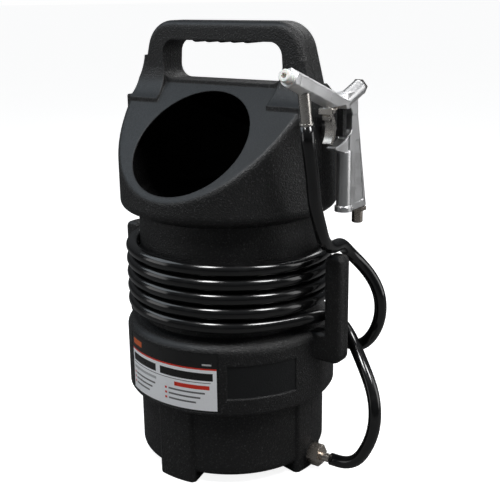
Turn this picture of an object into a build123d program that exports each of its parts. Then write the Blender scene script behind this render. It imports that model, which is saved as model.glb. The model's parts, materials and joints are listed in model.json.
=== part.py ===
"""Portable siphon-feed abrasive blaster: hopper, coiled hose and trigger gun.

Frame: origin on the hopper's axis at the floor, +Z up, the filling mouth
facing -Y, the gun hung on the hook on the +X side. Millimetres.
"""
from build123d import *
from math import cos, radians, sin, tan
import os

os.makedirs("parts", exist_ok=True)

# ---------------------------------------------------------------- hopper
overall_height = 572.0
wall = 4.0
foot_radius = 127.0
foot_half_angle = 13.5
foot_depth = 45.0
foot_hollow_top = 38.0
centre_foot_radius = 14.0
base_radius = 123.5
base_floor = 12.0
band_radius = 138.0
band_bottom = 103.0
band_top = 195.0
neck_radius = 117.0
head_radius = 140.0
head_bottom = 342.0
sill_height = 499.0
sill_front = -9.0
shave_bottom = 458.0
rear_slope = 36.0
mouth_radius = 80.0
mouth_centre_y = -77.0

# ---------------------------------------------------------------- label and blank panel
label_bottom = 108.0
label_top = 185.5
label_angles = (-32.0, 30.0)
label_recess = 0.8
label_thickness = 0.4
label_play = 0.5
panel_bottom = 126.0
panel_top = 169.5
panel_angles = (34.0, 72.0)
panel_depth = 1.2

# ---------------------------------------------------------------- handle
handle_front = -14.0
handle_rear = 25.0
handle_half_width = 131.0
handle_side_slope = 0.26
handle_corner = 40.0
bar_underside = 548.0
window_half_low = 94.0
window_half_top = 91.0
window_corner = 17.0
finger_pitch = 19.5
finger_lobe = 2.4
gusset_front = -38.0
gusset_step = 6.0
gusset_inner = 85.0
gusset_top = 528.0

# ---------------------------------------------------------------- side posts and hooks
post_inner = 151.0
post_outer = 175.0
post_bottom = 157.0
post_top = 296.5
post_width = 23.0
post_edge = 5.0
hook_inner = 161.0
hook_outer = 169.0
hook_arm_bottom = 441.0
hook_arm_top = 450.0
hook_top = 473.9
hook_front = -2.0
hook_rear = 6.5

# ---------------------------------------------------------------- hose
hose_outer = 8.0
hose_inner = 5.0
barb_radius = 4.95
coil_radius = 127.6
coil_high = 290.0
coil_pitch = 18.0
coil_start = 280
coil_end = 1870
coil_step = 30
hose_start = 158.0
hose_lead = 20.3
hose_tail = 8.0
hose_lengths = 12
hose_from_gun = [
    (165, -63, 405), (165, -57, 372), (164, -43, 340), (161, -25, 316),  # down beside the head
    (159, -4, 307), (156, 18, 304.5), (156, 42, 289),  # over the post
    (168, 60, 266), (184, 68, 236), (186, 71, 200), (170, 76, 166), (142, 88, 146),  # hanging loop
]
hose_climb = [  # angle from the front, radius, height: up behind the neck
    (133, 150, 146), (155, 149, 164), (180, 148, 204), (205, 146, 252), (228, 144, 284), (252, 138, 297),
]
hose_to_outlet = [
    (140, 5, 212), (141, 25, 205), (148, 39, 193), (159, 41, 179), (173, 34, 165),  # round the post
    (194, 20, 145), (211, 9, 122), (218.5, 2, 98), (216.5, 0, 72),  # front loop
    (207, 0, 47), (193, 0, 28), (179, 0, 21),  # into the outlet
]

# ---------------------------------------------------------------- outlet
outlet_height = 19.5
outlet_hex = 25.4
outlet_hex_start = 128.2
outlet_hex_end = 143.0
shank_radius = 6.8
spot_radius = 15.5
outer_seal_radius = 13.5
inner_seal_radius = 10.5
lock_nut_flats = 22.0
lock_nut_width = 8.0
shank_end = 105.0
outlet_bore = 3.5
spot_depth = 0.6
seal_thickness = 2.5
inner_face = foot_radius - wall - 0.55
pickup_radius = 5.4
pickup_bore = 4.0
pickup_end = 114.9
pickup_elbow = 102.0
pickup_length = 50.0
gap = 0.05

# ---------------------------------------------------------------- gun casting and barrel
gun_x = 165.0
gun_y = -3.0
gun_z = 478.3
gun_tilt = radians(20)
hex_flats = 20.0
seam = 38.0
spigot_radius = 7.5
barrel_end = 106.0
nut_end = 116.0
nozzle_tip = 125.4
nozzle_radius = 7.1
tube_station = 85.3
tube_lean = radians(10.2)
tube_radius = 6.85
tube_flange = 43.0
boss_radius = 9.6
boss_end = 47.0
grip_half = 9.0
plate_half = 7.8
grip_recess = 0.9
grip_bottom = 350.0
collar_height = 6.5
pipe_bore = 5.6
air_way = 3.0
body_outline = [(-2, 470), (2, 492), (24, 492), (26, 466), (12, 464)]
grip_outline = [(9, grip_bottom), (51.5, grip_bottom), (24, 478), (12, 486), (9, 440)]
panel_outline = [(22, 358), (44.5, 358), (32.5, 434), (22, 434)]
horn_outline = [(-21, 436), (-21, 429.5), (-17.5, 427), (-6, 424.5), (6, 420), (22, 420), (22, 446), (6, 446)]
web_outline = [(10, 436), (22, 436), (22, 472), (10, 472)]
opening_front = [(-5.5, 479), (-26, 479), (-26, 425), (-22, 431)]
opening_rear = [(-7, 434), (6.5, 439), (13, 448), (13, 467), (9, 474), (-4, 474)]

# ---------------------------------------------------------------- mixing head and nozzle
chamber_start = 66.0
chamber_end = 98.0
head_bore = 4.0
mixing_radius = 6.5
nozzle_socket = 6.1
nozzle_seat = 99.0
nozzle_bore = 3.0
jet_body = 5.5
jet_stem = 3.9
jet_tip = 74.0
jet_bore = 1.6
flange_radius = 8.3

# ---------------------------------------------------------------- air inlet
inlet_y = 44.0
inlet_flats = 19.0
inlet_length = 21.0
thread_radius = 6.86

# ---------------------------------------------------------------- trigger and valve
pivot_y = -31.5
pivot_z = 474.6
block_front = pivot_y - 5.5
block_half = 8.0
knuckle_radius = 3.6
channel_half = 5.5
channel_skin = 2.2
lug_radius = 3.4
lug_half = 3.5
pin_radius = 1.5
stem_radius = 2.3
stem_tip = -30.7
pad_face = -31.0
seat = 11.0
chamber_radius = 6.0
plug_front = 38.0
plug_radius = 7.0
disc_radius = 5.2
spring_coil = 3.6
spring_pitch = 3.2
spring_length = 21.2
spring_wire = 0.5

# Gun planes: side view (x is world Y, y is world Z), barrel axis, valve axis, tube axis.
gun_side = Plane(origin=(gun_x, 0, 0), x_dir=(0, 1, 0), z_dir=(1, 0, 0))
gun_root = (gun_x, gun_y, gun_z)
barrel_axis = Plane(origin=gun_root, x_dir=(1, 0, 0), z_dir=(0, -cos(gun_tilt), sin(gun_tilt)))
valve_axis = Plane(origin=gun_root, x_dir=(1, 0, 0), z_dir=(0, cos(gun_tilt), sin(gun_tilt)))
tube_root = (gun_x, gun_y - tube_station * cos(gun_tilt), gun_z + tube_station * sin(gun_tilt))
tube_axis = Plane(origin=tube_root, x_dir=(1, 0, 0), z_dir=(0, sin(tube_lean), -cos(tube_lean)))
inlet_axis = Plane(origin=(gun_x, inlet_y, grip_bottom), x_dir=(1, 0, 0), z_dir=(0, 0, -1))
outlet_axis = Plane(origin=(0, 0, outlet_height), x_dir=(0, 1, 0), z_dir=(1, 0, 0))
slope = Plane(
    origin=(0, mouth_centre_y, sill_height + mouth_centre_y - sill_front),
    x_dir=(1, 0, 0),
    z_dir=(0, -sin(radians(45)), cos(radians(45))),
)
tube_end = tube_axis.offset(tube_flange + 1.7)
hose_entry = tube_axis.offset(tube_flange + 22)


def save(piece, name):
    """Label a finished piece and write its STEP file."""
    piece.part.label = name
    export_step(piece.part, f"parts/{name}.step")


def rod(plane, start, end, outer, inner=0.0):
    """Round bar or ring along a plane's normal, between two stations."""
    with BuildPart(mode=Mode.PRIVATE) as piece:
        with BuildSketch(plane.offset(start)):
            Circle(outer)
            if inner > 0:
                Circle(inner, mode=Mode.SUBTRACT)
        extrude(amount=end - start)
    return piece.part


def hex_bar(plane, start, end, flats, inner=0.0, turn=0.0):
    """Hexagonal bar along a plane's normal; at turn 0 its corners point along local x."""
    with BuildPart(mode=Mode.PRIVATE) as piece:
        with BuildSketch(plane.offset(start)):
            RegularPolygon(flats / 2, 6, major_radius=False, rotation=turn)
            if inner > 0:
                Circle(inner, mode=Mode.SUBTRACT)
        extrude(amount=end - start)
    return piece.part


def side_slab(points, half, corner=0.0, start=0.0):
    """Polygon in the gun's side view, given thickness on both sides of the gun plane."""
    with BuildPart(mode=Mode.PRIVATE) as piece:
        with BuildSketch(gun_side.offset(start)) as outline:
            Polygon(*points, align=None)
            if corner > 0:
                fillet(outline.vertices(), corner)
        extrude(amount=half, both=True)
    return piece.part


def turned_body(inset, low, high):
    """Solid of revolution of the hopper, its walls moved inwards by inset."""
    base = base_radius - inset
    band = band_radius - inset
    neck = neck_radius - inset
    head = head_radius - inset
    step = band_bottom + inset
    shoulder = band_top - inset
    brim = head_bottom + inset
    with BuildPart(mode=Mode.PRIVATE) as body:
        with BuildSketch(Plane.XZ):
            with BuildLine():
                Polyline((0, high), (0, low), (base - 10, low))
                TangentArc((base - 10, low), (base, low + 10), tangent=(1, 0))
                Polyline((base, low + 10), (base, step - 3), (band - 2, step), (band, step + 3))
                Line((band, step + 3), (band, shoulder - 12))
                TangentArc((band, shoulder - 12), (band - 12, shoulder), tangent=(0, 1))
                Polyline((band - 12, shoulder), (neck, shoulder + 4), (neck, brim - 6), (head - 12, brim))
                TangentArc((head - 12, brim), (head, brim + 12), tangent=(1, 0))
                Polyline((head, brim + 12), (head, high), (0, high))
            make_face()
        revolve(axis=Axis.Z)
    return body.part


def roof_cutter(inset):
    """Everything above the sloping front, the sill under the handle and the sloping back."""
    reach = 260
    sill = sill_height - inset
    front = sill_front - inset * 0.4
    rear = handle_rear + inset * 0.3
    fall = reach * tan(radians(rear_slope))
    with BuildPart(mode=Mode.PRIVATE) as cutter:
        with BuildSketch(Plane.YZ):
            Polygon(
                (front - reach, sill - reach),
                (front, sill),
                (rear, sill),
                (rear + reach, sill - fall),
                (rear + reach, sill + reach),
                (front - reach, sill + reach),
                align=None,
            )
        extrude(amount=200, both=True)
    return cutter.part


def side_shave(inset):
    """Slanted cuts that bring the head's top corners in to the handle's sides."""
    outer = head_radius - inset
    inner = handle_half_width - inset
    with BuildPart(mode=Mode.PRIVATE) as cutter:
        with BuildSketch(Plane.XZ):
            for side in (-1, 1):
                Polygon(
                    (side * (outer + 1), shave_bottom - 1),
                    (side * inner, sill_height),
                    (side * inner, sill_height + 20),
                    (side * (outer + 30), sill_height + 20),
                    (side * (outer + 30), shave_bottom - 1),
                    align=None,
                )
        extrude(amount=200, both=True)
    return cutter.part


def handle_ring():
    """Carrying handle: a tapered ring with rounded corners and finger lobes under its bar."""
    top_half = handle_half_width - handle_side_slope * (overall_height - sill_height)
    with BuildPart(mode=Mode.PRIVATE) as ring:
        with BuildSketch(Plane.XZ.offset(-handle_rear)) as outline:
            Polygon(
                (-handle_half_width, sill_height - 50),
                (handle_half_width, sill_height - 50),
                (handle_half_width, sill_height),
                (top_half, overall_height),
                (-top_half, overall_height),
                (-handle_half_width, sill_height),
                align=None,
            )
            fillet(outline.vertices().group_by(Axis.Y)[-1], handle_corner)
        extrude(amount=handle_rear - handle_front)
        fillet(ring.edges().group_by(Axis.Z)[-1].filter_by(Axis.X), 9)
        with BuildSketch(Plane.XZ.offset(-handle_rear)) as window:
            Polygon(
                (-window_half_low, sill_height),
                (window_half_low, sill_height),
                (window_half_top, bar_underside),
                (-window_half_top, bar_underside),
                align=None,
            )
            fillet(window.vertices(), window_corner)
        extrude(amount=handle_rear - handle_front, mode=Mode.SUBTRACT)
        with BuildSketch(Plane.XZ.offset(-handle_rear + 4)):
            with GridLocations(finger_pitch, 0, 5, 1):
                with Locations((0, bar_underside + finger_lobe)):
                    Ellipse(finger_pitch * 0.42, finger_lobe * 2)
        extrude(amount=handle_rear - handle_front - 8)
    return ring.part


def gusset(side):
    """Web that sweeps a handle leg forward onto the sloping front and ends in a small step."""
    low = sill_height + gusset_front - sill_front
    step = (gusset_front, low + gusset_step)
    root = (handle_front + 6, low - 20)
    flank = handle_half_width - handle_side_slope * (gusset_top - sill_height)
    with BuildPart(mode=Mode.PRIVATE) as web:
        with BuildSketch(Plane.YZ):
            with BuildLine():
                Polyline(root, (gusset_front, low - 12), step)
                ThreePointArc(step, (gusset_front + 14, low + 19), (handle_front, gusset_top))
                Polyline((handle_front, gusset_top), (handle_front + 6, gusset_top), root)
            make_face()
        extrude(amount=side * handle_half_width)
        with BuildSketch(Plane.XZ.offset(-handle_rear)):
            Polygon(
                (side * gusset_inner, low - 20),
                (side * handle_half_width, low - 20),
                (side * handle_half_width, sill_height),
                (side * flank, gusset_top),
                (side * window_half_low, gusset_top),
                (side * gusset_inner, low + gusset_step),
                align=None,
            )
        extrude(amount=handle_rear - gusset_front, mode=Mode.INTERSECT)
    return web.part


def foot_outline(spread, inset):
    """Plan of a foot: a sector of a ring about the X axis, its edges moved inwards by inset."""
    far = foot_radius * 1.3
    across, along = far * sin(spread), far * cos(spread)
    with BuildSketch(mode=Mode.PRIVATE) as outline:
        Polygon((0, 0), (along, -across), (along, across), align=None)
        Circle(foot_radius - inset, mode=Mode.INTERSECT)
        Circle(foot_radius - foot_depth + inset, mode=Mode.SUBTRACT)
    return outline.sketch


def foot():
    """One foot: a wedge of the base that reaches the floor and stands proud of the base wall."""
    with BuildPart(mode=Mode.PRIVATE) as wedge:
        with BuildSketch():
            add(foot_outline(radians(foot_half_angle), 0))
        extrude(amount=band_bottom)
        fillet(wedge.edges().filter_by(Axis.Z).group_by(Axis.X)[-1], 7)
        fillet(wedge.faces().sort_by(Axis.Z)[0].edges(), 2.5)
    return wedge.part


def foot_cavity():
    """Hollow of a foot, open to the hopper's floor."""
    with BuildPart(mode=Mode.PRIVATE) as hollow:
        with BuildSketch(Plane.XY.offset(wall)):
            add(foot_outline(radians(foot_half_angle) - wall / foot_radius, wall))
        extrude(amount=foot_hollow_top - wall)
    return hollow.part


def side_post(side):
    """Upright that holds the coil: a foot on the band and a rounded post outside the hose."""
    with BuildPart(mode=Mode.PRIVATE) as post:
        with BuildSketch(Plane.XZ) as outline:
            Polygon(
                (side * (band_radius - 6), post_bottom),
                (side * post_outer, post_bottom),
                (side * post_outer, post_top),
                (side * post_inner, post_top),
                (side * post_inner, band_top),
                (side * (band_radius - 6), band_top),
                align=None,
            )
            fillet(outline.vertices().group_by(Axis.Y)[-1], 8)
            fillet(outline.vertices().group_by(Axis.Y)[0].sort_by(Axis.X, reverse=side < 0)[-1], 12)
        extrude(amount=post_width / 2, both=True)
        fillet(post.faces().filter_by(Axis.Y).edges(), post_edge)
    return post.part


def side_hook(side):
    """Hook high on the head: an arm with an upright tongue that carries the gun."""
    with BuildPart(mode=Mode.PRIVATE) as hook:
        with BuildSketch(Plane.XZ.offset(-hook_rear)) as outline:
            Polygon(
                (side * (head_radius - 6), hook_arm_bottom - 7),
                (side * (hook_inner - 9), hook_arm_bottom),
                (side * hook_outer, hook_arm_bottom),
                (side * hook_outer, hook_top),
                (side * hook_inner, hook_top),
                (side * hook_inner, hook_arm_top),
                (side * (head_radius - 6), hook_arm_top + 4),
                align=None,
            )
            fillet(outline.vertices().group_by(Axis.Y)[-1], 3)
        extrude(amount=hook_rear - hook_front)
    return hook.part


def band_pocket(angles, low, high, depth):
    """Shallow curved pocket in the band between two angles from the front."""
    with BuildPart(mode=Mode.PRIVATE) as pocket:
        with BuildSketch(Plane.XZ):
            Polygon(
                (band_radius - depth, low), (band_radius + 2, low),
                (band_radius + 2, high), (band_radius - depth, high), align=None,
            )
        revolve(axis=Axis.Z, revolution_arc=angles[1] - angles[0])
    return pocket.part.rotate(Axis.Z, -90 + angles[0])


def make_hopper():
    """Blow-moulded hopper: base, band, neck, hooded head, handle, posts, hooks and feet."""
    with BuildPart() as hopper:
        add(turned_body(0, base_floor, overall_height))
        add(roof_cutter(0), mode=Mode.SUBTRACT)
        rim = hopper.edges().filter_by(lambda edge: edge.geom_type == GeomType.ELLIPSE)
        fillet(rim, 9)
        add(side_shave(0), mode=Mode.SUBTRACT)
        for quarter in range(4):
            add(foot().rotate(Axis.Z, 90 * quarter))
        add(rod(Plane.XY, 0, base_floor + 1, centre_foot_radius))
        for side in (-1, 1):
            add(gusset(side))
        add(handle_ring())
        for side in (-1, 1):
            add(side_post(side))
            add(side_hook(side))
        add(hopper_cavity(), mode=Mode.SUBTRACT)
        with BuildSketch(slope.offset(-20)):
            Circle(mouth_radius)
        extrude(amount=40, mode=Mode.SUBTRACT)
        add(rod(outlet_axis, foot_radius - 20, foot_radius + 10, shank_radius + gap), mode=Mode.SUBTRACT)
        add(rod(outlet_axis, foot_radius - spot_depth, foot_radius + 10, spot_radius), mode=Mode.SUBTRACT)
        add(band_pocket(label_angles, label_bottom, label_top, label_recess), mode=Mode.SUBTRACT)
        add(band_pocket(panel_angles, panel_bottom, panel_top, panel_depth), mode=Mode.SUBTRACT)
    save(hopper, "hopper_shell")
    return hopper


def hopper_cavity():
    """Space inside the hopper, one wall in from its outside, with the hollows of the feet."""
    with BuildPart(mode=Mode.PRIVATE) as cavity:
        add(turned_body(wall, base_floor + wall, overall_height))
        add(roof_cutter(wall), mode=Mode.SUBTRACT)
        add(side_shave(wall), mode=Mode.SUBTRACT)
        for quarter in range(4):
            add(foot_cavity().rotate(Axis.Z, 90 * quarter))
    return cavity.part


def make_label():
    """Printed label: a thin curved sheet lying in its pocket on the band."""
    middle = (label_bottom + label_top) / 2
    radius = band_radius - label_recess + gap + label_thickness / 2
    with BuildPart() as label:
        with BuildSketch(Plane.XZ):
            with Locations((radius, middle)):
                Rectangle(label_thickness, label_top - label_bottom - 2 * label_play)
        revolve(axis=Axis.Z, revolution_arc=label_angles[1] - label_angles[0] - 2 * label_play)
    label.part = label.part.rotate(Axis.Z, -90 + label_angles[0] + label_play)
    save(label, "label")


def hose_points():
    """Centre line of the hose from the gun, round the coil, to the outlet."""
    points = [hose_entry.origin] + [Vector(*place) for place in hose_from_gun]
    points += [ring_point(*place) for place in hose_climb]
    for angle in range(coil_start, coil_end + 1, coil_step):
        points.append(ring_point(angle, coil_radius, coil_high - coil_pitch * (angle - 360) / 360))
    points += [Vector(*place) for place in hose_to_outlet]
    return points + [Vector(hose_start + hose_tail, 0, outlet_height)]


def ring_point(angle, radius, height):
    """Point at an angle from the front, turning towards the gun side."""
    turn = radians(angle)
    return Vector(radius * sin(turn), -radius * cos(turn), height)


def hose_strand(centre_line):
    """Hollow strand swept along one edge of the hose's centre line."""
    with BuildPart(mode=Mode.PRIVATE) as strand:
        with BuildSketch(Plane(origin=centre_line @ 0, z_dir=centre_line % 0)):
            Circle(hose_outer)
            Circle(hose_inner, mode=Mode.SUBTRACT)
        sweep(path=centre_line)
    return strand.part


def make_hose():
    """Abrasive hose: one length from the gun's suction tube to the outlet barb."""
    with BuildLine() as run:
        Spline(*hose_points(), tangents=(hose_entry.z_dir, (-1, 0, 0)), tangent_scalars=(1, 1))
    centre_line = run.line.edges()[0]
    strands = [
        rod(tube_end, 0, hose_lead, hose_outer, hose_inner),
        rod(outlet_axis, hose_start, hose_start + hose_tail, hose_outer, hose_inner),
    ]
    for count in range(hose_lengths):
        strands.append(hose_strand(centre_line.trim(count / hose_lengths, (count + 1) / hose_lengths)))
    with BuildPart() as hose:
        add(strands)
    save(hose, "hose")


def make_outlet():
    """Outlet through the right-hand foot: barb with its seals and lock nut."""
    with BuildPart() as barb:
        add(rod(outlet_axis, shank_end, outlet_hex_start, shank_radius))
        add(hex_bar(outlet_axis, outlet_hex_start, outlet_hex_end, outlet_hex))
        add(rod(outlet_axis, outlet_hex_end, hose_start - gap, barb_radius + 0.7))
        add(rod(outlet_axis, hose_start - 1, hose_start + hose_tail, barb_radius))
        add(rod(outlet_axis, shank_end - 1, hose_start + hose_tail + 1, outlet_bore), mode=Mode.SUBTRACT)
        add(rod(outlet_axis, shank_end - 1, pickup_end + gap, pickup_radius + gap), mode=Mode.SUBTRACT)
    save(barb, "outlet_barb")
    shank_hole = shank_radius + gap
    with BuildPart() as outer_seal:
        add(rod(outlet_axis, foot_radius - spot_depth, outlet_hex_start, outer_seal_radius, shank_hole))
    save(outer_seal, "outlet_outer_seal")
    with BuildPart() as inner_seal:
        add(rod(outlet_axis, inner_face - seal_thickness, inner_face, inner_seal_radius, shank_hole))
    save(inner_seal, "outlet_inner_seal")
    nut_face = inner_face - seal_thickness
    with BuildPart() as lock_nut:
        add(hex_bar(outlet_axis, nut_face - lock_nut_width, nut_face, lock_nut_flats, shank_radius))
    save(lock_nut, "outlet_lock_nut")


def make_pickup_tube():
    """Pickup tube inside the hopper: plugs into the outlet and rises a little towards the middle."""
    lean = radians(9)
    elbow = Plane(origin=(pickup_elbow, 0, outlet_height), x_dir=(0, 1, 0), z_dir=(-cos(lean), 0, sin(lean)))
    below = -2 * pickup_radius
    foot_cut = Plane(origin=elbow.offset(pickup_length).origin, x_dir=(-1, 0, 0), z_dir=(0, 1, 0))
    with BuildPart() as pickup:
        add(rod(outlet_axis, pickup_elbow, pickup_end, pickup_radius))
        add(rod(elbow, 0, pickup_length, pickup_radius))
        add(rod(outlet_axis, pickup_elbow, pickup_end + 1, pickup_bore), mode=Mode.SUBTRACT)
        add(rod(elbow, 0, pickup_length + 1, pickup_bore), mode=Mode.SUBTRACT)
        with BuildSketch(foot_cut):
            Polygon((-pickup_radius, below), (2, below), (2, pickup_radius), align=None)
        extrude(amount=2 * pickup_radius, both=True, mode=Mode.SUBTRACT)
    save(pickup, "pickup_tube")


def gun_opening():
    """Finger opening behind the trigger, cut straight through the casting."""
    return side_slab(opening_front + opening_rear, 20)


def make_gun_casting():
    """Grip casting: barrel socket, valve boss, trigger lug, guard horn and hollow grip."""
    grip_foot = Plane(origin=(gun_x, 9, grip_bottom), z_dir=(0, 0, 1))
    front, rear = pivot_y - lug_radius, pivot_y + lug_radius
    lug_outline = [(front, pivot_z), (rear, pivot_z), (rear, pivot_z + 12), (front, pivot_z + 12)]
    with BuildPart() as casting:
        add(hex_bar(barrel_axis, -6, seam, hex_flats, turn=30))
        add(rod(valve_axis, 2, boss_end, boss_radius))
        add(side_slab(body_outline, grip_half - 0.5))
        add(rod(grip_foot, 4, 73, grip_half))
        add(rod(grip_foot, 0, collar_height, grip_half + 1.8))
        add(side_slab(grip_outline, plate_half))
        for face_side in (-1, 1):
            with BuildSketch(gun_side.offset(face_side * (plate_half - grip_recess))) as panel:
                Polygon(*panel_outline, align=None)
                fillet(panel.vertices(), 2)
            extrude(amount=face_side * 4, mode=Mode.SUBTRACT)
        add(side_slab(horn_outline, 6))
        add(side_slab(web_outline, plate_half))
        add(gun_opening(), mode=Mode.SUBTRACT)
        add(side_slab(lug_outline, lug_half))
        add(cross_rod(-lug_half, lug_half, lug_radius))
        add(casting_bores(), mode=Mode.SUBTRACT)
    save(casting, "gun_casting")
    return casting


def slanted_rod(start, end, lead, radius):
    """Round bar between two points, begun a little before the first."""
    way = Plane(origin=start, x_dir=(1, 0, 0), z_dir=end - start)
    return rod(way, -lead, (end - start).length, radius)


def casting_bores():
    """Air way of the casting: inlet thread, grip bore, valve chamber, air passage, socket and pin hole."""
    inlet_top = Vector(gun_x, inlet_y, grip_bottom + 16)
    with BuildPart(mode=Mode.PRIVATE) as bores:
        add(rod(inlet_axis, -17, 1, pipe_bore))
        add(slanted_rod(inlet_top, Vector(gun_x, 16.5, 485), 4, air_way))
        add(rod(valve_axis, -12, seat + 1, stem_radius + gap))
        add(rod(valve_axis, 1.5, 4.0, 4.45))
        add(rod(valve_axis, 6.5, seat, 4.2))
        add(rod(valve_axis, seat, plug_front, chamber_radius))
        add(rod(valve_axis, plug_front - 2, boss_end + 1, plug_radius))
        add(slanted_rod(Vector(gun_x, 4.5, 481.5), Vector(gun_x, -27, 490), 0, 2.2))
        add(rod(barrel_axis, 25, seam + 1, spigot_radius + gap))
        add(cross_rod(-10, 10, pin_radius + gap))
    return bores.part


def make_barrel():
    """Mixing head: hexagonal barrel with a threaded spigot, mixing chamber and tube hole."""
    with BuildPart() as barrel:
        add(hex_bar(barrel_axis, seam, barrel_end, hex_flats, turn=30))
        add(rod(barrel_axis, seam - 12.5, seam, spigot_radius))
        add(rod(barrel_axis, barrel_end, barrel_end + 5, 8.6))
        add(rod(barrel_axis, seam - 14, barrel_end + 6, head_bore), mode=Mode.SUBTRACT)
        add(rod(barrel_axis, seam - 14, seam + 4, jet_body + 0.1), mode=Mode.SUBTRACT)
        add(rod(barrel_axis, chamber_start, chamber_end, mixing_radius), mode=Mode.SUBTRACT)
        add(rod(barrel_axis, chamber_end, barrel_end + 6, nozzle_socket), mode=Mode.SUBTRACT)
        add(rod(tube_axis, 0, hex_flats, tube_radius + gap), mode=Mode.SUBTRACT)
    save(barrel, "gun_barrel")


def make_barrel_internals():
    """Air jet with its seal, suction tube, ceramic nozzle, nozzle seal and nozzle nut."""
    with BuildPart() as jet:
        add(rod(barrel_axis, 28, seam + 3.5, jet_body))
        add(rod(barrel_axis, seam + 3.4, jet_tip, jet_stem))
        add(rod(barrel_axis, 27, jet_tip + 1, jet_bore), mode=Mode.SUBTRACT)
        add(rod(barrel_axis, 27, 60, 1.5 * jet_bore), mode=Mode.SUBTRACT)
        add(rod(barrel_axis, 33, 35, 6, 4.3), mode=Mode.SUBTRACT)
    save(jet, "air_jet")
    groove = Plane(
        origin=barrel_axis.offset(34).origin, x_dir=(1, 0, 0), z_dir=(0, sin(gun_tilt), cos(gun_tilt))
    )
    with BuildPart() as jet_seal:
        with BuildSketch(groove):
            with Locations((4.96, 0)):
                Circle(0.6)
        revolve(axis=Axis(barrel_axis.origin, barrel_axis.z_dir))
    save(jet_seal, "air_jet_seal")
    with BuildPart() as tube:
        add(rod(tube_axis, 8, tube_flange, tube_radius))
        add(rod(tube_axis, tube_flange - 0.8, tube_flange + 1.2, tube_radius + 1.1))
        add(rod(tube_axis, tube_flange + 1.1, tube_flange + 20, barb_radius))
        add(rod(tube_axis, 7, tube_flange + 21, 3.8), mode=Mode.SUBTRACT)
    save(tube, "suction_tube")
    with BuildPart() as nozzle:
        add(rod(barrel_axis, nozzle_seat, nut_end - 3.7, nozzle_socket - 0.1))
        add(rod(barrel_axis, nut_end - 3.8, nut_end - 1.8, flange_radius))
        add(rod(barrel_axis, nut_end - 1.9, nozzle_tip, nozzle_radius))
        chamfer(nozzle.faces().sort_by(Axis(barrel_axis.origin, barrel_axis.z_dir))[-1].edges(), 0.8)
        add(rod(barrel_axis, nozzle_seat - 1, nozzle_tip + 1, nozzle_bore), mode=Mode.SUBTRACT)
        with BuildSketch(barrel_axis.offset(nozzle_seat)):
            Circle(5.4)
        extrude(amount=6, taper=20, mode=Mode.SUBTRACT)
    save(nozzle, "nozzle")
    with BuildPart() as nozzle_seal:
        add(rod(barrel_axis, barrel_end + 5.02, nut_end - 3.82, flange_radius + 0.2, nozzle_socket))
    save(nozzle_seal, "nozzle_seal")
    with BuildPart() as nut:
        add(hex_bar(barrel_axis, barrel_end + 0.1, nut_end, hex_flats, turn=30))
        add(nut_cone(), mode=Mode.INTERSECT)
        add(rod(barrel_axis, barrel_end, nut_end - 1.75, flange_radius + 0.35), mode=Mode.SUBTRACT)
        add(rod(barrel_axis, barrel_end, nut_end + 1, nozzle_radius + gap), mode=Mode.SUBTRACT)
    save(nut, "nozzle_nut")


def nut_cone():
    """Cone that chamfers the nozzle nut's front corners."""
    with BuildPart(mode=Mode.PRIVATE) as cone:
        with BuildSketch(barrel_axis.offset(barrel_end - 1)):
            Circle(12)
        with BuildSketch(barrel_axis.offset(nut_end - 3)):
            Circle(12)
        with BuildSketch(barrel_axis.offset(nut_end)):
            Circle(9.6)
        loft(ruled=True)
    return cone.part


def cross_rod(start, end, outer):
    """Round bar across the gun on the trigger's pivot; stations are distances from the gun plane."""
    return rod(Plane(origin=(gun_x, pivot_y, pivot_z), x_dir=(0, 1, 0), z_dir=(1, 0, 0)), start, end, outer)


def make_trigger():
    """Trigger: a folded block on the pivot, a curved finger channel and a pad for the stem."""
    slot_half = lug_half + 0.1
    with BuildPart() as trigger:
        add(finger_channel(0, channel_half))
        add(finger_channel(channel_skin, channel_half - channel_skin), mode=Mode.SUBTRACT)
        add(side_slab(
            [(block_front, 470.6), (pivot_y, 471.0), (pivot_y, pivot_z + 2), (block_front, pivot_z + 2.6)],
            block_half,
        ))
        add(cross_rod(-block_half, block_half, knuckle_radius))
        add(side_slab(
            [(pivot_y - 3.65, 471.5), (pivot_y + 4, 471.5), (pivot_y + 4, 479), (pivot_y - 3.65, 479)],
            slot_half,
        ), mode=Mode.SUBTRACT)
        add(cross_rod(-slot_half, slot_half, lug_radius + 0.3), mode=Mode.SUBTRACT)
        add(valve_side_slab(pad_face - 3.2, pad_face, -3.1, 1.5, channel_half - 1))
        add(valve_side_slab(pad_face, pad_face + 9, -5.5, 2.6, stem_radius + 0.5), mode=Mode.SUBTRACT)
        add(cross_rod(-block_half - 1, block_half + 1, pin_radius + gap), mode=Mode.SUBTRACT)
    save(trigger, "trigger")
    with BuildPart() as pin:
        add(cross_rod(-block_half - 1.6, block_half + 1.6, pin_radius))
        add(cross_rod(-block_half - 1.6, -block_half - 0.2, pin_radius + 1.1))
        add(cross_rod(block_half + 0.2, block_half + 1.6, pin_radius + 1.1))
    save(pin, "trigger_pin")


def finger_channel(skin, half):
    """Curved finger piece seen from the side; skin leaves the front web when it is hollowed."""
    with BuildPart(mode=Mode.PRIVATE) as channel:
        with BuildSketch(gun_side):
            with BuildLine():
                Line((block_front + 1.5 + skin, 473 - skin), (block_front + 1.5 + skin, 470.6))
                ThreePointArc((block_front + 1.5 + skin, 470.6), (-26.5 + skin, 452), (-33 + skin, 437))
                Line((-33 + skin, 437), (-29 + 2 * skin, 434.5))
                ThreePointArc((-29 + 2 * skin, 434.5), (-20.5 + skin, 451), (-27.9 + skin, 470.6))
                Line((-27.9 + skin, 470.6), (-27.9 + skin, 473 - skin))
                Line((-27.9 + skin, 473 - skin), (block_front + 1.5 + skin, 473 - skin))
            make_face()
        extrude(amount=half, both=True)
    return channel.part


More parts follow.
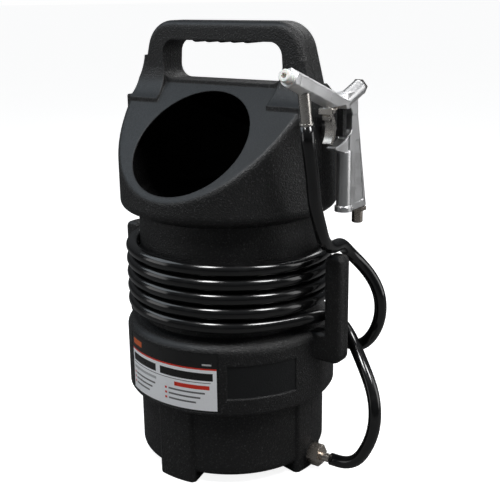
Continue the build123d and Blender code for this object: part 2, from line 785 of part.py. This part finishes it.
def valve_side_slab(front, rear, low, high, half):
    """Block laid along the valve axis; low and high are heights measured square to that axis."""
    side_of_axis = Plane(origin=gun_root, x_dir=valve_axis.z_dir, z_dir=(1, 0, 0))
    with BuildPart(mode=Mode.PRIVATE) as slab:
        with BuildSketch(side_of_axis):
            Polygon((front, low), (rear, low), (rear, high), (front, high), align=None)
        extrude(amount=half, both=True)
    return slab.part


def make_valve():
    """Valve: stem and disc, washer, spring, guide seal, boss plug and its washer."""
    with BuildPart() as stem:
        add(rod(valve_axis, stem_tip, seat + 3.8, stem_radius))
        chamfer(stem.faces().sort_by(Axis(valve_axis.origin, valve_axis.z_dir))[0].edges(), 0.8)
        add(rod(valve_axis, seat + 1.7, seat + 3.8, disc_radius))
        add(rod(valve_axis, seat + 3.7, seat + 10, 1.8))
    save(stem, "valve_stem")
    with BuildPart() as washer:
        add(rod(valve_axis, seat + 0.05, seat + 1.68, disc_radius, stem_radius + 0.02))
    save(washer, "valve_washer")
    with BuildPart() as spring:
        coil_base = valve_axis.offset(seat + 4.4)
        with BuildLine() as helix_path:
            Helix(spring_pitch, spring_length, spring_coil, coil_base.origin, coil_base.z_dir)
        with BuildSketch(Plane(origin=helix_path.line @ 0, z_dir=helix_path.line % 0)):
            Circle(spring_wire)
        sweep(path=helix_path.line, is_frenet=True)
    save(spring, "valve_spring")
    groove = Plane(
        origin=valve_axis.offset(2.75).origin, x_dir=(1, 0, 0), z_dir=(0, -sin(gun_tilt), cos(gun_tilt))
    )
    with BuildPart() as stem_seal:
        with BuildSketch(groove):
            with Locations((3.38, 0)):
                Circle(1.05)
        revolve(axis=Axis(valve_axis.origin, valve_axis.z_dir))
    save(stem_seal, "stem_seal")
    with BuildPart() as plug:
        add(rod(valve_axis, plug_front, boss_end + 1, plug_radius - gap))
        add(hex_bar(valve_axis, boss_end + 1, boss_end + 4, 17.5))
        add(rod(valve_axis, plug_front - 1, plug_front + 5, 4.6), mode=Mode.SUBTRACT)
    save(plug, "valve_plug")
    with BuildPart() as plug_washer:
        add(rod(valve_axis, boss_end + 0.02, boss_end + 0.98, boss_radius, plug_radius))
    save(plug_washer, "plug_washer")


def make_inlet():
    """Air inlet: a hexagon-collared male nipple screwed into the grip, with its seal."""
    with BuildPart() as nipple:
        add(rod(inlet_axis, -15, 1, pipe_bore - gap))
        add(hex_bar(inlet_axis, 0.9, 5.4, inlet_flats, turn=30))
        add(rod(inlet_axis, 5.3, inlet_length, thread_radius))
        chamfer(nipple.faces().sort_by(Axis.Z)[0].edges(), 1.0)
        add(rod(inlet_axis, -16, inlet_length + 1, air_way + 0.6), mode=Mode.SUBTRACT)
    save(nipple, "air_inlet")
    with BuildPart() as seal:
        add(rod(inlet_axis, 0.02, 0.88, 8.6, pipe_bore))
    save(seal, "air_inlet_seal")


make_hopper()
make_label()
make_hose()
make_outlet()
make_pickup_tube()
make_gun_casting()
make_barrel()
make_barrel_internals()
make_trigger()
make_valve()
make_inlet()
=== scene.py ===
"""Looks of a portable abrasive blaster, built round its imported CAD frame. Lengths are metres."""
import json
import math

import bmesh
import bpy
import numpy as np
from mathutils import Matrix, Vector


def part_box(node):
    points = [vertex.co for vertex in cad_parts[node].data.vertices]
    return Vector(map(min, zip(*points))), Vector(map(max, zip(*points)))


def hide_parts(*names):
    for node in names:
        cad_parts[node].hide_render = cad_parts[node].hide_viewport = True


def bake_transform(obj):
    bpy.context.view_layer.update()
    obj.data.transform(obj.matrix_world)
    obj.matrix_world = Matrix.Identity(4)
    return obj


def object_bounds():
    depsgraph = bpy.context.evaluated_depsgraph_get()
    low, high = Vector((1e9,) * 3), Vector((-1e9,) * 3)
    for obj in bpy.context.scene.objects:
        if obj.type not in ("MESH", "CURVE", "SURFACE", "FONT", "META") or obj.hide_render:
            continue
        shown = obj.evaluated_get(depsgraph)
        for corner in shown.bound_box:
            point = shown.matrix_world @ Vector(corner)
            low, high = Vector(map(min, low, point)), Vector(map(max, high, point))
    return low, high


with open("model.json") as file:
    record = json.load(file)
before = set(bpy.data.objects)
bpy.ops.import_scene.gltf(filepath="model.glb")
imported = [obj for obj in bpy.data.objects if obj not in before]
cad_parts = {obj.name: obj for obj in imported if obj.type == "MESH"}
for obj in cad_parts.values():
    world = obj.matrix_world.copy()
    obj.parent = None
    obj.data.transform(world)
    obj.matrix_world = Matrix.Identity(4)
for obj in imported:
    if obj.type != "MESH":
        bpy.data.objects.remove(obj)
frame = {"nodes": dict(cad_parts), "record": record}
cad_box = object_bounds()
nodes = frame["nodes"]

MM = 0.001
WHITE = (1.0, 1.0, 1.0)

# ---------------------------------------------------------------- smooth panel and label
PANEL_LEFT, PANEL_RIGHT = math.radians(34), math.radians(72)
PANEL_LOW, PANEL_HIGH = 126 * MM, 169.5 * MM
LABEL_LEFT, LABEL_RIGHT = math.radians(-32), math.radians(30)
INK, RED, GREY = (0.006, 0.006, 0.006), (0.62, 0.03, 0.012), (0.13, 0.13, 0.13)
STRIP_FOOT = 0.745
LABEL_BLOCKS = [  # left, right, bottom and top as shares of the label, colour
    (0, 1, 0.725, 0.752, RED),
    (0.045, 0.40, 0.54, 0.67, INK),
    (0.45, 0.95, 0.54, 0.67, INK),
    (0.045, 0.93, 0.498, 0.508, INK),
    (0.60, 0.92, 0.385, 0.455, RED),
    (0.045, 0.40, 0.40, 0.445, (0.42, 0.43, 0.44)),
    (0.04, 0.20, 0.83, 0.93, (0.55, 0.10, 0.02)),
    (0.86, 0.94, 0.80, 0.83, (0.45, 0.45, 0.45)),
]
LABEL_COLUMNS = [(0.045, 0.30), (0.50, 0.34)]  # left side and longest bar of each list
LIST_TOP, LIST_STEP, LIST_ROWS = 0.335, 0.085, 3
LIST_INDENT, LIST_SHORTEN, LIST_BAR = 0.04, 0.04, 0.03
BULLET_WIDE, BULLET_MORE = 0.022, 0.004
BORDER_SIDE, BORDER_FOOT = 0.018, 0.022

# ---------------------------------------------------------------- hopper plastic
GRAIN_SCALE, PEBBLE_SCALE = 430, 600
GRAIN_DEPTH = 0.9 * MM
HOOD_FACING = (0, -math.sqrt(0.5), math.sqrt(0.5))
SEAM_HALF, SEAM_BLEND, SEAM_DEPTH = 0.3 * MM, 0.9 * MM, -1.2
BLACK, BLACK_WORN = (0.0035, 0.0035, 0.0037), (0.006, 0.006, 0.0062)
# lighter grey for the edges: partly wear, partly a painted highlight
SPARKLE, EDGE_WEAR_AND_PAINTED_HIGHLIGHT = (0.05, 0.05, 0.051), (0.03, 0.03, 0.031)
# bluish hood colour: a painted sheen on the sloping face that looks up towards the light
HOOD_PAINTED_SHEEN, PANEL_BLACK = (0.007, 0.009, 0.011), (0.003, 0.0035, 0.004)

# ---------------------------------------------------------------- metals
METALS = {  # bright tone, dull tone, roughness from and to, ripple, grain scale, edge radius in mm
    "cast_aluminium": ((0.95, 0.95, 0.95), (0.86, 0.86, 0.87), 0.3, 0.42, 1.0, 700, 2.2),
    "nickel_plated_steel": ((0.74, 0.71, 0.67), (0.56, 0.53, 0.49), 0.2, 0.34, 0.0, 900, 0.8),
    "hard_steel": ((0.5, 0.5, 0.52), (0.36, 0.36, 0.38), 0.25, 0.4, 0.0, 900, 0.8),
    "spring_steel": ((0.5, 0.5, 0.51), (0.38, 0.38, 0.39), 0.25, 0.4, 0.0, 900, 0.8),
    "nickel_plated_brass": ((0.72, 0.66, 0.60), (0.50, 0.44, 0.38), 0.16, 0.34, 0.0, 900, 0.8),
}

# ---------------------------------------------------------------- studio
ROOM_TINT = (0.90, 0.95, 1.0)
ROOM_FOOT, ROOM_TOP = -0.1, 0.8  # upward share of a direction where the room is dimmest and brightest
ROOM_LOW, ROOM_HIGH = 0.03, 0.16
FLOOR_GLOW = 0.88
FLOOR_REACH = 60.0
FLOOR_IN_REFLECTIONS = (0.14, 0.14, 0.14)
SOFTBOXES = [  # name, azimuth, elevation, distance, width, height, watts, colour
    ("left_softbox", 2, 60, 1.5, 0.3, 0.5, 13, WHITE),
    ("right_softbox", 88, 52, 1.5, 0.34, 0.5, 13, WHITE),
    ("cool_fill", -62, 42, 2.2, 1.4, 1.2, 10, (0.85, 0.93, 1.0)),
    ("low_left", -48, 4, 2.4, 1.2, 1.6, 8, WHITE),
    ("gun_card", 118, 14, 1.6, 0.9, 1.1, 6.5, WHITE),
    ("rear_rim", 190, 40, 2.2, 1.2, 0.9, 12, WHITE),
]

# ---------------------------------------------------------------- hose, as in the CAD model
HOSE_RADIUS = 8 * MM
HOSE_BORE = 5 * MM
HOSE_SIDES = 28
HOSE_STEP = 3.5 * MM
COIL_RADIUS = 127.6
COIL_HIGH = 290.0
COIL_PITCH = 18.0
COIL_ANGLES = range(280, 1871, 30)
HOSE_ON_TUBE = (165, -75.24, 463.48)
HOSE_OFF_TUBE = (165, -71.65, 443.50)
HOSE_TUBE_LEAN = math.radians(10.2)
HOSE_TO_COIL = [
    (165, -63, 405), (165, -57, 372), (164, -43, 340), (161, -25, 316),  # down beside the head
    (159, -4, 307), (156, 18, 304.5), (156, 42, 289),  # over the post
    (168, 60, 266), (184, 68, 236), (186, 71, 200), (170, 76, 166), (142, 88, 146),  # hanging loop
]
HOSE_CLIMB = [  # angle from the front, radius, height: up behind the neck
    (133, 150, 146), (155, 149, 164), (180, 148, 204), (205, 146, 252), (228, 144, 284), (252, 138, 297),
]
HOSE_TO_OUTLET = [
    (140, 5, 212), (141, 25, 205), (148, 39, 193), (159, 41, 179), (173, 34, 165),  # round the post
    (194, 20, 145), (211, 9, 122), (218.5, 2, 98), (216.5, 0, 72),  # front loop
    (207, 0, 47), (193, 0, 28), (179, 0, 21), (166, 0, 19.5),  # into the outlet
]
HOSE_ON_BARB = (158, 0, 19.5)

# ---------------------------------------------------------------- camera
VIEW_AZIMUTH = math.radians(35.60)
VIEW_ELEVATION = math.radians(15.78)
VIEW_ROLL = math.radians(0.72)
VIEW_DISTANCE = 1.20225
VIEW_LENS = 65.63
SENSOR_WIDTH = 36
TARGET_HEIGHT = 0.28625
TARGET_RIGHT = 0.02631
TARGET_UP = -0.00869


# ---------------------------------------------------------------- material nodes
class Graph:
    """Short way to write a material: each method adds one node and returns its output."""

    def __init__(self, name):
        self.material = bpy.data.materials.new(name)
        self.material.use_nodes = True
        self.tree = self.material.node_tree
        self.shader = self.tree.nodes["Principled BSDF"]
        self.place = self.node("ShaderNodeTexCoord").outputs["Object"]

    def node(self, kind, **settings):
        made = self.tree.nodes.new(kind)
        for key, value in settings.items():
            setattr(made, key, value)
        return made

    def put(self, value, socket):
        if isinstance(value, bpy.types.NodeSocket):
            self.tree.links.new(value, socket)
        elif isinstance(value, (tuple, list)) and len(value) == 3 and socket.type == "RGBA":
            socket.default_value = (*value, 1)
        else:
            socket.default_value = value

    def set(self, **values):
        for key, value in values.items():
            self.put(value, self.shader.inputs[key.replace("_", " ")])

    def noise(self, scale, detail=2.0, rough=0.5):
        made = self.node("ShaderNodeTexNoise")
        self.put(self.place, made.inputs["Vector"])
        made.inputs["Scale"].default_value = scale
        made.inputs["Detail"].default_value = detail
        made.inputs["Roughness"].default_value = rough
        return made.outputs["Fac"]

    def cells(self, scale):
        made = self.node("ShaderNodeTexVoronoi")
        self.put(self.place, made.inputs["Vector"])
        made.inputs["Scale"].default_value = scale
        return made.outputs["Distance"]

    def math(self, operation, first, second=0.0):
        made = self.node("ShaderNodeMath", operation=operation)
        self.put(first, made.inputs[0])
        self.put(second, made.inputs[1])
        return made.outputs[0]

    def spread(self, value, low, high, to_low=0.0, to_high=1.0):
        made = self.node("ShaderNodeMapRange")
        self.put(value, made.inputs["Value"])
        for key, number in (("From Min", low), ("From Max", high), ("To Min", to_low), ("To Max", to_high)):
            self.put(number, made.inputs[key])
        return made.outputs["Result"]

    def mix(self, factor, first, second):
        made = self.node("ShaderNodeMix", data_type="RGBA")
        self.put(factor, made.inputs["Factor"])
        self.put(first, made.inputs[6])
        self.put(second, made.inputs[7])
        return made.outputs[2]

    def axis(self, name):
        made = self.node("ShaderNodeSeparateXYZ")
        self.put(self.place, made.inputs[0])
        return made.outputs[name]

    def turn(self):
        """Angle round the hopper's axis, 0 at the front, growing towards the gun side."""
        return self.math("ARCTAN2", self.axis("X"), self.math("MULTIPLY", self.axis("Y"), -1.0))

    def between(self, value, low, high):
        """1 where the value lies between the limits, 0 elsewhere."""
        above, below = self.math("GREATER_THAN", value, low), self.math("LESS_THAN", value, high)
        return self.math("MULTIPLY", above, below)

    def facing(self, direction):
        """Cosine between the true surface normal and a direction."""
        made = self.node("ShaderNodeVectorMath", operation="DOT_PRODUCT")
        self.put(self.node("ShaderNodeNewGeometry").outputs["Normal"], made.inputs[0])
        self.put(direction, made.inputs[1])
        return made.outputs["Value"]

    def soft_edges(self, radius):
        made = self.node("ShaderNodeBevel", samples=4)
        made.inputs["Radius"].default_value = radius
        return made.outputs["Normal"]

    def edge_mask(self, normal):
        """1 on sharp edges, where the softened normal leaves the true one."""
        return self.spread(self.math("SUBTRACT", 1.0, self.facing(normal)), 0.02, 0.25)

    def bump(self, height, distance, strength=1.0, normal=None):
        made = self.node("ShaderNodeBump")
        self.put(height, made.inputs["Height"])
        self.put(strength, made.inputs["Strength"])
        self.put(distance, made.inputs["Distance"])
        if normal is not None:
            self.put(normal, made.inputs["Normal"])
        return made.outputs["Normal"]


def moulded_black():
    """Black polyethylene: sparkling pebble grain, smoother on the sloping hood and blank panel; painted
    sheen on the hood, wear and painted highlight on edges.
    """
    g = Graph("moulded_black_polyethylene")
    normal = g.soft_edges(3.0 * MM)
    hood = g.spread(g.facing(HOOD_FACING), 0.9, 0.98)
    columns = g.between(g.turn(), PANEL_LEFT, PANEL_RIGHT)
    panel = g.math("MULTIPLY", columns, g.between(g.axis("Z"), PANEL_LOW, PANEL_HIGH))
    smooth = g.math("MAXIMUM", hood, panel)
    sparkle = g.noise(GRAIN_SCALE, 2, 0.7)
    pebbles = g.math("ADD", sparkle, g.math("MULTIPLY", g.cells(PEBBLE_SCALE), 0.5))
    seam = g.spread(g.math("ABSOLUTE", g.axis("Y")), SEAM_HALF, SEAM_BLEND, SEAM_DEPTH, 0.0)
    strength = g.spread(smooth, 0, 1, 1.0, 0.3)
    grain = g.bump(g.math("ADD", pebbles, seam), GRAIN_DEPTH, strength, normal)
    # lighter edges broken up by noise: partly wear, partly a painted highlight along the edges
    wear = g.math("MULTIPLY", g.edge_mask(normal), g.noise(90, 4))
    clouds = g.noise(14, 4)
    base = g.mix(g.spread(clouds, 0.35, 0.7), BLACK, BLACK_WORN)
    base = g.mix(g.spread(sparkle, 0.58, 0.72), base, SPARKLE)
    # the hood, picked by the way it faces, gets a lighter bluish colour: a painted sheen
    base = g.mix(hood, base, HOOD_PAINTED_SHEEN)
    base = g.mix(panel, base, PANEL_BLACK)
    base = g.mix(wear, base, EDGE_WEAR_AND_PAINTED_HIGHLIGHT)
    rough = g.spread(sparkle, 0.35, 0.7, 0.62, 0.36)
    g.set(
        Base_Color=base,
        Roughness=g.math("SUBTRACT", rough, g.math("MULTIPLY", hood, 0.04)),
        Specular_IOR_Level=0.42,
        Normal=grain,
    )
    return g.material


def glossy_rubber():
    """Polished black hose cover with faint scuffs along it."""
    g = Graph("glossy_black_rubber")
    scuffs = g.noise(45, 6, 0.7)
    base = g.mix(g.spread(scuffs, 0.55, 0.8), (0.004, 0.004, 0.0042), (0.011, 0.011, 0.011))
    g.set(
        Base_Color=base,
        Roughness=g.spread(scuffs, 0.3, 0.75, 0.1, 0.24),
        Normal=g.bump(g.noise(160, 2), 0.05 * MM, 0.35),
        Coat_Weight=0.3,
        Coat_Roughness=0.12,
    )
    return g.material


def soft_rubber():
    """Matt seal rubber."""
    g = Graph("seal_rubber")
    g.set(
        Base_Color=g.mix(g.noise(300, 3), (0.012, 0.012, 0.012), (0.03, 0.03, 0.03)),
        Roughness=0.6,
        Normal=g.bump(g.noise(900, 2), 0.1 * MM, 0.4),
    )
    return g.material


def metal(name, bright, dull, rough_low, rough_high, ripple, grain, edge):
    """Bare or plated metal: tone and polish vary in patches, with fine tool grain and softened edges."""
    g = Graph(name)
    patches = g.noise(60, 5, 0.6)
    fine = g.noise(grain, 3, 0.6)
    normal = g.soft_edges(edge * MM)
    height = g.math("ADD", g.math("MULTIPLY", g.noise(150, 3), ripple), fine)
    wear = g.math("ADD", patches, g.math("MULTIPLY", fine, 0.4))
    g.set(
        Base_Color=g.mix(g.spread(patches, 0.3, 0.75), bright, dull),
        Metallic=1.0,
        Roughness=g.spread(wear, 0.5, 0.95, rough_low, rough_high),
        Normal=g.bump(height, 0.02 * MM, 0.06, normal),
    )
    return g.material


def white_ceramic():
    """Fired ceramic: warm white with a dull glaze."""
    g = Graph("white_ceramic")
    g.set(
        Base_Color=g.mix(g.noise(200, 4), (0.86, 0.85, 0.81), (0.74, 0.73, 0.69)),
        Roughness=g.spread(g.noise(400, 2), 0.3, 0.7, 0.3, 0.5),
        Subsurface_Weight=0.1,
        Normal=g.bump(g.noise(800, 2), 0.05 * MM, 0.3, g.soft_edges(1.0 * MM)),
    )
    return g.material


def dark_nylon():
    """Moulded nylon."""
    g = Graph("dark_nylon")
    g.set(
        Base_Color=g.mix(g.noise(250, 3), (0.016, 0.014, 0.013), (0.035, 0.03, 0.028)),
        Roughness=g.spread(g.noise(500, 2), 0.3, 0.7, 0.3, 0.5),
        Normal=g.bump(g.noise(700, 2), 0.1 * MM, 0.3, g.soft_edges(0.6 * MM)),
    )
    return g.material


def printed_label():
    """Label print without lettering: dark strip, thin red line, pale field with plain blocks."""
    g = Graph("printed_label")
    low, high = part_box("label")
    across = g.spread(g.turn(), LABEL_LEFT, LABEL_RIGHT)
    up = g.spread(g.axis("Z"), low.z, high.z)

    def block(left, right, bottom, top):
        """1 inside a rectangle of the label, 0 outside."""
        return g.math("MULTIPLY", g.between(across, left, right), g.between(up, bottom, top))

    pale = g.mix(g.noise(300, 3), (0.88, 0.89, 0.91), (0.80, 0.81, 0.83))
    base = g.mix(g.math("GREATER_THAN", up, STRIP_FOOT), pale, INK)
    for left, right, bottom, top, colour in LABEL_BLOCKS:
        base = g.mix(block(left, right, bottom, top), base, colour)
    for row in range(LIST_ROWS):
        top = LIST_TOP - LIST_STEP * row
        for left, long in LABEL_COLUMNS:
            start, end = left + LIST_INDENT, left + LIST_INDENT + long - LIST_SHORTEN * row
            bullet = block(left, left + BULLET_WIDE, top - LIST_BAR - BULLET_MORE, top + BULLET_MORE)
            base = g.mix(block(start, end, top - LIST_BAR, top), base, GREY)
            base = g.mix(bullet, base, RED)
    field = block(BORDER_SIDE, 1 - BORDER_SIDE, BORDER_FOOT, 1 - BORDER_FOOT)
    base = g.mix(g.math("SUBTRACT", 1.0, field), base, INK)
    g.set(Base_Color=base, Roughness=g.spread(g.noise(120, 4), 0.3, 0.7, 0.26, 0.4))
    return g.material


def dress_nodes():
    """Every CAD node gets the material of its slot."""
    looks = {
        "hopper_plastic": moulded_black(),
        "label_print": printed_label(),
        "hose_rubber": glossy_rubber(),
        "seal_rubber": soft_rubber(),
        "pickup_plastic": dark_nylon(),
        "black_nylon": dark_nylon(),
        "white_ceramic": white_ceramic(),
    }
    for name, values in METALS.items():
        looks[name] = metal(name, *values)
    for part in frame["record"]["subparts"]:
        node = nodes[part["node"]]
        node.data.materials.clear()
        node.data.materials.append(looks[part["material_slot"]])
    return looks


# ---------------------------------------------------------------- hose
def ring_point(angle, radius, height):
    """Point at an angle in degrees from the front, turning towards the gun side; lengths in mm."""
    turn = math.radians(angle)
    return (radius * math.sin(turn), -radius * math.cos(turn), height)


def between_points(t, start, end, leave, arrive):
    """Point at share t of a cubic that starts and ends with the given slopes."""
    return (
        (2 * t**3 - 3 * t**2 + 1) * start
        + (t**3 - 2 * t**2 + t) * leave
        + (3 * t**2 - 2 * t**3) * end
        + (t**3 - t**2) * arrive
    )


def through_points(points, first, last):
    """Smooth curve through the points with given end directions: slopes from a tridiagonal solve."""
    chord = np.linalg.norm(np.diff(points, axis=0), axis=1)
    count = len(points)
    matrix = np.eye(count)
    right = np.zeros((count, 3))
    right[0], right[-1] = first, last
    for i in range(1, count - 1):
        before, after = chord[i - 1], chord[i]
        matrix[i, i - 1 : i + 2] = after, 2 * (before + after), before
        right[i] = 3 * (
            after * (points[i] - points[i - 1]) / before + before * (points[i + 1] - points[i]) / after
        )
    slope = np.linalg.solve(matrix, right)
    line = []
    for i in range(count - 1):
        steps = max(2, round(chord[i] * MM / HOSE_STEP))
        for t in np.arange(steps) / steps:
            leave, arrive = chord[i] * slope[i], chord[i] * slope[i + 1]
            line.append(between_points(t, points[i], points[i + 1], leave, arrive))
    return line


def hose_line():
    """Centre line of the hose in metres, from the gun's tube to the outlet barb."""
    points = [HOSE_OFF_TUBE, *HOSE_TO_COIL]
    points += [ring_point(*place) for place in HOSE_CLIMB]
    for angle in COIL_ANGLES:
        points.append(ring_point(angle, COIL_RADIUS, COIL_HIGH - COIL_PITCH * (angle - 360) / 360))
    points += HOSE_TO_OUTLET
    points = np.array(points, float)
    down = np.array([0, math.sin(HOSE_TUBE_LEAN), -math.cos(HOSE_TUBE_LEAN)])
    line = through_points(points, down, np.array([-1.0, 0, 0]))
    ends = [np.array(HOSE_ON_TUBE, float)], [points[-1], np.array(HOSE_ON_BARB, float)]
    return [Vector(p) * MM for p in ends[0] + line + ends[1]]


def rings_along(line, radius):
    """Circles square to the line, carried along it without twist."""
    rings = []
    across = Vector((1, 0, 0))
    for i, centre in enumerate(line):
        ahead = line[min(i + 1, len(line) - 1)] - line[max(i - 1, 0)]
        ahead.normalize()
        across = (across - ahead * across.dot(ahead)).normalized()
        other = ahead.cross(across)
        ring = []
        for k in range(HOSE_SIDES):
            turn = 2 * math.pi * k / HOSE_SIDES
            ring.append(centre + (across * math.cos(turn) + other * math.sin(turn)) * radius)
        rings.append(ring)
    return rings


def bridge(mesh, first, second):
    """Band of faces between two rings of vertices."""
    count = len(first)
    for k in range(count):
        face = mesh.faces.new((first[k], first[(k + 1) % count], second[(k + 1) % count], second[k]))
        face.smooth = True


def make_hose(material):
    """The hose, bending between the hopper and the gun where it hangs free."""
    line = hose_line()
    mesh = bmesh.new()
    outer = [[mesh.verts.new(p) for p in ring] for ring in rings_along(line, HOSE_RADIUS)]
    inner = [[mesh.verts.new(p) for p in ring] for ring in rings_along(line, HOSE_BORE)]
    for i in range(len(line) - 1):
        bridge(mesh, outer[i], outer[i + 1])
        bridge(mesh, inner[i + 1], inner[i])
    bridge(mesh, inner[0], outer[0])
    bridge(mesh, outer[-1], inner[-1])
    bmesh.ops.recalc_face_normals(mesh, faces=mesh.faces)
    data = bpy.data.meshes.new("abrasive_hose")
    mesh.to_mesh(data)
    mesh.free()
    hose = bpy.data.objects.new("abrasive_hose", data)
    bpy.context.collection.objects.link(hose)
    data.materials.append(material)
    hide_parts("hose")
    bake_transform(hose)


# ---------------------------------------------------------------- studio
def view_vectors():
    """The camera's right, up and back directions before its roll."""
    back = Vector((
        math.sin(VIEW_AZIMUTH) * math.cos(VIEW_ELEVATION),
        -math.cos(VIEW_AZIMUTH) * math.cos(VIEW_ELEVATION),
        math.sin(VIEW_ELEVATION),
    ))
    right = Vector((math.cos(VIEW_AZIMUTH), math.sin(VIEW_AZIMUTH), 0))
    return right, back.cross(right), back


def make_camera():
    """Camera at the viewing angle of the reference view."""
    right, up, back = view_vectors()
    target = Vector((0, 0, TARGET_HEIGHT)) + right * TARGET_RIGHT + up * TARGET_UP
    rolled_right = right * math.cos(VIEW_ROLL) - up * math.sin(VIEW_ROLL)
    rolled_up = right * math.sin(VIEW_ROLL) + up * math.cos(VIEW_ROLL)
    camera = bpy.data.objects.new("camera", bpy.data.cameras.new("camera"))
    camera.data.lens = VIEW_LENS
    camera.data.sensor_width = SENSOR_WIDTH
    camera.matrix_world = Matrix((rolled_right, rolled_up, back)).transposed().to_4x4()
    camera.location = target + back * VIEW_DISTANCE
    bpy.context.collection.objects.link(camera)
    bpy.context.scene.camera = camera


def softbox(name, azimuth, elevation, distance, wide, tall, watts, colour):
    """Area light round the object's middle; azimuth 0 is the front, turning towards the gun side."""
    turn, rise = math.radians(azimuth), math.radians(elevation)
    middle = (cad_box[0] + cad_box[1]) / 2
    away = Vector((math.sin(turn) * math.cos(rise), -math.cos(turn) * math.cos(rise), math.sin(rise)))
    lamp = bpy.data.lights.new(name, "AREA")
    lamp.shape = "RECTANGLE"
    lamp.size, lamp.size_y = wide, tall
    lamp.energy = watts
    lamp.color = colour
    holder = bpy.data.objects.new(name, lamp)
    holder.location = middle + away * distance
    holder.rotation_euler = away.to_track_quat("Z", "Y").to_euler()
    bpy.context.collection.objects.link(holder)


def make_world():
    """White backdrop to the eye; for everything else a dim room, darker below the horizon."""
    world = bpy.data.worlds.new("studio")
    bpy.context.scene.world = world
    world.use_nodes = True
    tree = world.node_tree
    tree.nodes.clear()
    new, join = tree.nodes.new, tree.links.new
    split = new("ShaderNodeSeparateXYZ")
    join(new("ShaderNodeTexCoord").outputs["Generated"], split.inputs[0])
    height = new("ShaderNodeMapRange")
    join(split.outputs["Z"], height.inputs["Value"])
    limits = {"From Min": ROOM_FOOT, "From Max": ROOM_TOP, "To Min": ROOM_LOW, "To Max": ROOM_HIGH}
    for key, number in limits.items():
        height.inputs[key].default_value = number
    dim, white = new("ShaderNodeBackground"), new("ShaderNodeBackground")
    dim.inputs["Color"].default_value = (*ROOM_TINT, 1)
    join(height.outputs["Result"], dim.inputs["Strength"])
    white.inputs["Color"].default_value = (*WHITE, 1)
    pick = new("ShaderNodeMixShader")
    join(new("ShaderNodeLightPath").outputs["Is Camera Ray"], pick.inputs[0])
    join(dim.outputs[0], pick.inputs[1])
    join(white.outputs[0], pick.inputs[2])
    join(pick.outputs[0], new("ShaderNodeOutputWorld").inputs["Surface"])


def make_floor():
    """Pale seamless floor that fills the backdrop; to the eye it glows, in reflections it is dim."""
    g = Graph("pale_floor")
    seen = g.node("ShaderNodeLightPath").outputs["Is Camera Ray"]
    pale = g.mix(g.noise(3, 3), (0.66, 0.66, 0.66), (0.62, 0.62, 0.62))
    g.set(
        Base_Color=g.mix(seen, FLOOR_IN_REFLECTIONS, pale),
        Roughness=0.8,
        Specular_IOR_Level=0.2,
        Emission_Color=WHITE,
        Emission_Strength=g.math("MULTIPLY", seen, FLOOR_GLOW),
    )
    mesh = bmesh.new()
    bmesh.ops.create_circle(mesh, cap_ends=True, segments=128, radius=FLOOR_REACH)
    data = bpy.data.meshes.new("floor")
    mesh.to_mesh(data)
    mesh.free()
    floor = bpy.data.objects.new("floor", data)
    data.materials.append(g.material)
    bpy.context.collection.objects.link(floor)


def make_studio():
    """Softboxes in front, above and low at the sides, a rim light behind, world and floor."""
    for values in SOFTBOXES:
        softbox(*values)
    bpy.context.scene.view_settings.view_transform = "Standard"
    make_world()
    make_floor()


looks = dress_nodes()
make_hose(looks["hose_rubber"])
make_studio()
make_camera()
